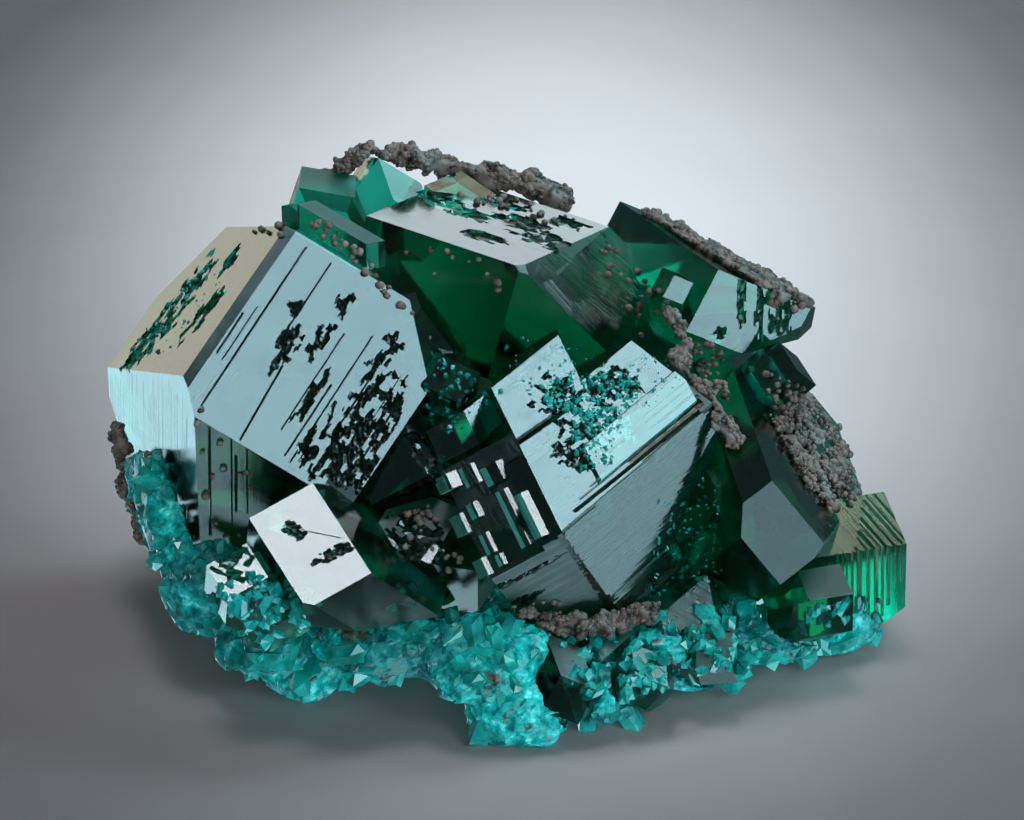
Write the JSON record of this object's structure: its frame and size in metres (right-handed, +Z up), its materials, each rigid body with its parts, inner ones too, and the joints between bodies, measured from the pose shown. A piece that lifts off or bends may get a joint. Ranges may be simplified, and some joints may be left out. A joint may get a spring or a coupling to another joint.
{
  "type": "dioptase specimen",
  "caption": "Mineral specimen of large intergrown green dioptase crystals with drusy crusts on a blue-green and brown matrix, resting on its own base",
  "frame": {"origin": "the middle of the specimen's outline box on the surface it rests on", "axes": "+X to the right along the specimen's longest side, +Y away from the front seen in the picture, +Z up"},
  "size_m": [0.0414, 0.0308, 0.0233],
  "materials": {
    "dioptase": "vitreous, see-through deep emerald green",
    "matrix": "rough blue-green crust over brown rock",
    "druse": "rough brown-grey drusy crust"
  },
  "bodies": {
    "root": {"dioptase_crystals": "dioptase", "matrix": "matrix", "druse_right_top": "druse", "druse_right_middle": "druse", "druse_centre_edge": "druse", "druse_front_band": "druse", "druse_top_rear": "druse", "druse_left_edge": "druse"}
  },
  "joints": []
}
